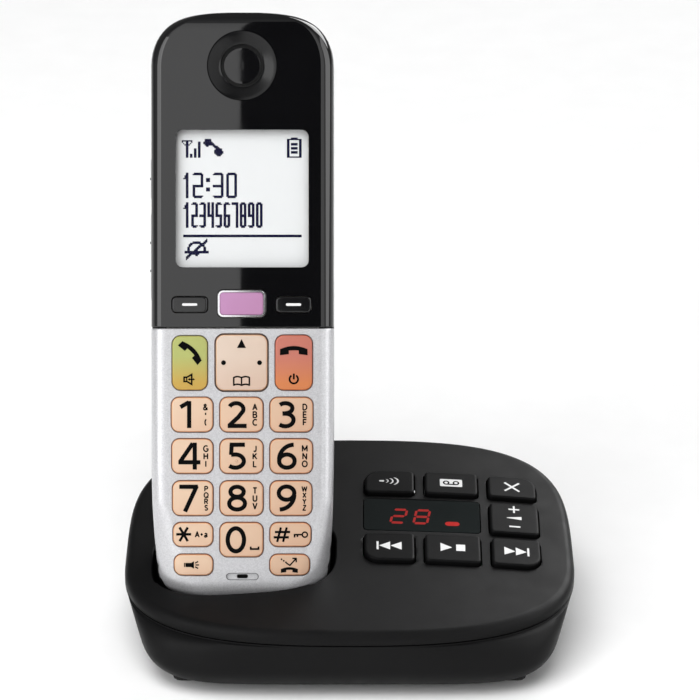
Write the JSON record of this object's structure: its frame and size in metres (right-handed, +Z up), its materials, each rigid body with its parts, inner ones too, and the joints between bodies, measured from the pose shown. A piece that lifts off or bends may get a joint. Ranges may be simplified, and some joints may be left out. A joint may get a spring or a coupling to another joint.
{
  "type": "cordless telephone with base",
  "caption": "Cordless telephone: a large-key handset leaning back in a charging base that holds an answering machine with a lit counter and its own keys.",
  "frame": {"origin": "on the table, under the middle of the object's length and width", "axes": "+Z up, the keys and screens face -Y, +X towards the answering machine's keys"},
  "size_m": [0.1292, 0.1094, 0.1707],
  "materials": {
    "charcoal": "fine matte, moulded",
    "glossy_black": "high gloss",
    "satin_black": "satin",
    "silver": "silver paint with a fine metal fleck",
    "key_peach": "satin, lit from behind",
    "key_talk": "satin, green to yellow",
    "key_end": "satin, red to orange",
    "key_middle": "satin violet in a chrome rim",
    "window": "clear, polished",
    "screen": "pale grey liquid crystal panel",
    "display": "dark, with red light bars",
    "contact": "plated",
    "board": "solder mask",
    "rubber": "matte",
    "mat": "matte silicone",
    "steel": "drawn",
    "cell": "printed sleeve"
  },
  "bodies": {
    "base": {"base_top_cover": "charcoal", "base_bottom_case": "charcoal", "display_window": "glossy_black", "display_module": "display", "base_board": "board", "base_speaker": "steel", "cradle_contact_left": "contact", "cradle_contact_right": "contact", "foot_front_left": "rubber", "foot_front_right": "rubber", "foot_rear_left": "rubber", "foot_rear_right": "rubber", "dc_jack": "satin_black", "line_jack": "satin_black"},
    "handset": {"handset_upper_bezel": "glossy_black", "handset_lower_cover": "silver", "handset_rear_shell": "charcoal", "lcd_window": "window", "lcd_panel": "screen", "earpiece_cap": "glossy_black", "earpiece_speaker": "steel", "microphone": "steel", "keypad_mat": "mat", "handset_board": "board", "battery_cell_1": "cell", "battery_cell_2": "cell", "handset_contact_left": "contact", "handset_contact_right": "contact", "torch_lens": "window"},
    "battery_door": {"battery_door": "charcoal"},
    "nav_pivot": {"nav_pivot": "mat"},
    "nav_key": {"nav_key": "key_peach"},
    "volume_rocker": {"volume_rocker": "satin_black"},
    "side_key": {"side_key": "satin_black"},
    "key_locator": {"key_locator": "satin_black"},
    "key_answer": {"key_answer": "satin_black"},
    "key_erase": {"key_erase": "satin_black"},
    "key_base_volume": {"key_base_volume": "satin_black"},
    "key_rewind": {"key_rewind": "satin_black"},
    "key_play_stop": {"key_play_stop": "satin_black"},
    "key_forward": {"key_forward": "satin_black"},
    "softkey_left": {"softkey_left": "satin_black"},
    "softkey_right": {"softkey_right": "satin_black"},
    "ok_key": {"ok_key": "key_middle"},
    "talk_key": {"talk_key": "key_talk"},
    "end_key": {"end_key": "key_end"},
    "key_1": {"key_1": "key_peach"},
    "key_2": {"key_2": "key_peach"},
    "key_3": {"key_3": "key_peach"},
    "key_4": {"key_4": "key_peach"},
    "key_5": {"key_5": "key_peach"},
    "key_6": {"key_6": "key_peach"},
    "key_7": {"key_7": "key_peach"},
    "key_8": {"key_8": "key_peach"},
    "key_9": {"key_9": "key_peach"},
    "key_star": {"key_star": "key_peach"},
    "key_0": {"key_0": "key_peach"},
    "key_hash": {"key_hash": "key_peach"},
    "torch_key": {"torch_key": "key_peach"},
    "redial_key": {"redial_key": "key_peach"}
  },
  "joints": [
    {"name": "handset_lift", "type": "slide", "parent": "base", "child": "handset", "axis": [0, 0.4226, 0.9063], "range_m": [0, 0.06]},
    {"name": "battery_door_lift", "type": "slide", "parent": "handset", "child": "battery_door", "axis": [0, 0.9063, -0.4226], "range_m": [0, 0.012]},
    {"name": "nav_tilt_up_down", "type": "hinge", "parent": "handset", "child": "nav_pivot", "pos_m": [-0.03025, -0.00534, 0.08138], "axis": [1, 0, 0], "range_deg": [-2, 2], "stiffness_Nm_per_rad": 0.02},
    {"name": "nav_tilt_sideways", "type": "hinge", "parent": "nav_pivot", "child": "nav_key", "pos_m": [-0.03025, -0.00534, 0.08138], "axis": [0, 0.4226, 0.9063], "range_deg": [-2, 2], "stiffness_Nm_per_rad": 0.02},
    {"name": "base_volume_rock", "type": "hinge", "parent": "base", "child": "key_base_volume", "pos_m": [0.04777, -0.00078, 0.02582], "axis": [0.9964, 0, -0.0851], "range_deg": [-2.5, 2.5], "stiffness_Nm_per_rad": 0.02},
    {"name": "handset_volume_rock", "type": "hinge", "parent": "handset", "child": "volume_rocker", "pos_m": [-0.05485, 0.01585, 0.10444], "axis": [0, 0.9063, -0.4226], "range_deg": [-1.2, 1.2], "stiffness_Nm_per_rad": 0.02},
    {"name": "side_key_press", "type": "slide", "parent": "handset", "child": "side_key", "axis": [1, 0, 0], "range_m": [0, 0.0004], "stiffness_N_per_m": 300, "springref_m": -0.0005},
    {"name": "key_locator_press", "type": "slide", "parent": "base", "child": "key_locator", "axis": [-0.0207, 0.1425, -0.9896], "range_m": [0, 0.0008], "stiffness_N_per_m": 300, "springref_m": -0.0005},
    {"name": "key_answer_press", "type": "slide", "parent": "base", "child": "key_answer", "axis": [-0.0527, 0.1423, -0.9884], "range_m": [0, 0.0008], "stiffness_N_per_m": 300, "springref_m": -0.0005},
    {"name": "key_erase_press", "type": "slide", "parent": "base", "child": "key_erase", "axis": [-0.0841, 0.142, -0.9863], "range_m": [0, 0.0008], "stiffness_N_per_m": 300, "springref_m": -0.0005},
    {"name": "key_rewind_press", "type": "slide", "parent": "base", "child": "key_rewind", "axis": [-0.0201, 0.1425, -0.9896], "range_m": [0, 0.0008], "stiffness_N_per_m": 300, "springref_m": -0.0005},
    {"name": "key_play_stop_press", "type": "slide", "parent": "base", "child": "key_play_stop", "axis": [-0.0522, 0.1423, -0.9884], "range_m": [0, 0.0008], "stiffness_N_per_m": 300, "springref_m": -0.0005},
    {"name": "key_forward_press", "type": "slide", "parent": "base", "child": "key_forward", "axis": [-0.084, 0.142, -0.9863], "range_m": [0, 0.0008], "stiffness_N_per_m": 300, "springref_m": -0.0005},
    {"name": "softkey_left_press", "type": "slide", "parent": "handset", "child": "softkey_left", "axis": [0, 0.9063, -0.4226], "range_m": [0, 0.0005], "stiffness_N_per_m": 300, "springref_m": -0.0005},
    {"name": "softkey_right_press", "type": "slide", "parent": "handset", "child": "softkey_right", "axis": [0, 0.9063, -0.4226], "range_m": [0, 0.0005], "stiffness_N_per_m": 300, "springref_m": -0.0005},
    {"name": "ok_key_press", "type": "slide", "parent": "handset", "child": "ok_key", "axis": [0, 0.9063, -0.4226], "range_m": [0, 0.0005], "stiffness_N_per_m": 300, "springref_m": -0.0005},
    {"name": "talk_key_press", "type": "slide", "parent": "handset", "child": "talk_key", "axis": [0, 0.9063, -0.4226], "range_m": [0, 0.0005], "stiffness_N_per_m": 300, "springref_m": -0.0005},
    {"name": "end_key_press", "type": "slide", "parent": "handset", "child": "end_key", "axis": [0, 0.9063, -0.4226], "range_m": [0, 0.0005], "stiffness_N_per_m": 300, "springref_m": -0.0005},
    {"name": "key_1_press", "type": "slide", "parent": "handset", "child": "key_1", "axis": [0, 0.9063, -0.4226], "range_m": [0, 0.0005], "stiffness_N_per_m": 300, "springref_m": -0.0005},
    {"name": "key_2_press", "type": "slide", "parent": "handset", "child": "key_2", "axis": [0, 0.9063, -0.4226], "range_m": [0, 0.0005], "stiffness_N_per_m": 300, "springref_m": -0.0005},
    {"name": "key_3_press", "type": "slide", "parent": "handset", "child": "key_3", "axis": [0, 0.9063, -0.4226], "range_m": [0, 0.0005], "stiffness_N_per_m": 300, "springref_m": -0.0005},
    {"name": "key_4_press", "type": "slide", "parent": "handset", "child": "key_4", "axis": [0, 0.9063, -0.4226], "range_m": [0, 0.0005], "stiffness_N_per_m": 300, "springref_m": -0.0005},
    {"name": "key_5_press", "type": "slide", "parent": "handset", "child": "key_5", "axis": [0, 0.9063, -0.4226], "range_m": [0, 0.0005], "stiffness_N_per_m": 300, "springref_m": -0.0005},
    {"name": "key_6_press", "type": "slide", "parent": "handset", "child": "key_6", "axis": [0, 0.9063, -0.4226], "range_m": [0, 0.0005], "stiffness_N_per_m": 300, "springref_m": -0.0005},
    {"name": "key_7_press", "type": "slide", "parent": "handset", "child": "key_7", "axis": [0, 0.9063, -0.4226], "range_m": [0, 0.0005], "stiffness_N_per_m": 300, "springref_m": -0.0005},
    {"name": "key_8_press", "type": "slide", "parent": "handset", "child": "key_8", "axis": [0, 0.9063, -0.4226], "range_m": [0, 0.0005], "stiffness_N_per_m": 300, "springref_m": -0.0005},
    {"name": "key_9_press", "type": "slide", "parent": "handset", "child": "key_9", "axis": [0, 0.9063, -0.4226], "range_m": [0, 0.0005], "stiffness_N_per_m": 300, "springref_m": -0.0005},
    {"name": "key_star_press", "type": "slide", "parent": "handset", "child": "key_star", "axis": [0, 0.9063, -0.4226], "range_m": [0, 0.0005], "stiffness_N_per_m": 300, "springref_m": -0.0005},
    {"name": "key_0_press", "type": "slide", "parent": "handset", "child": "key_0", "axis": [0, 0.9063, -0.4226], "range_m": [0, 0.0005], "stiffness_N_per_m": 300, "springref_m": -0.0005},
    {"name": "key_hash_press", "type": "slide", "parent": "handset", "child": "key_hash", "axis": [0, 0.9063, -0.4226], "range_m": [0, 0.0005], "stiffness_N_per_m": 300, "springref_m": -0.0005},
    {"name": "torch_key_press", "type": "slide", "parent": "handset", "child": "torch_key", "axis": [0, 0.9063, -0.4226], "range_m": [0, 0.0005], "stiffness_N_per_m": 300, "springref_m": -0.0005},
    {"name": "redial_key_press", "type": "slide", "parent": "handset", "child": "redial_key", "axis": [0, 0.9063, -0.4226], "range_m": [0, 0.0005], "stiffness_N_per_m": 300, "springref_m": -0.0005}
  ]
}
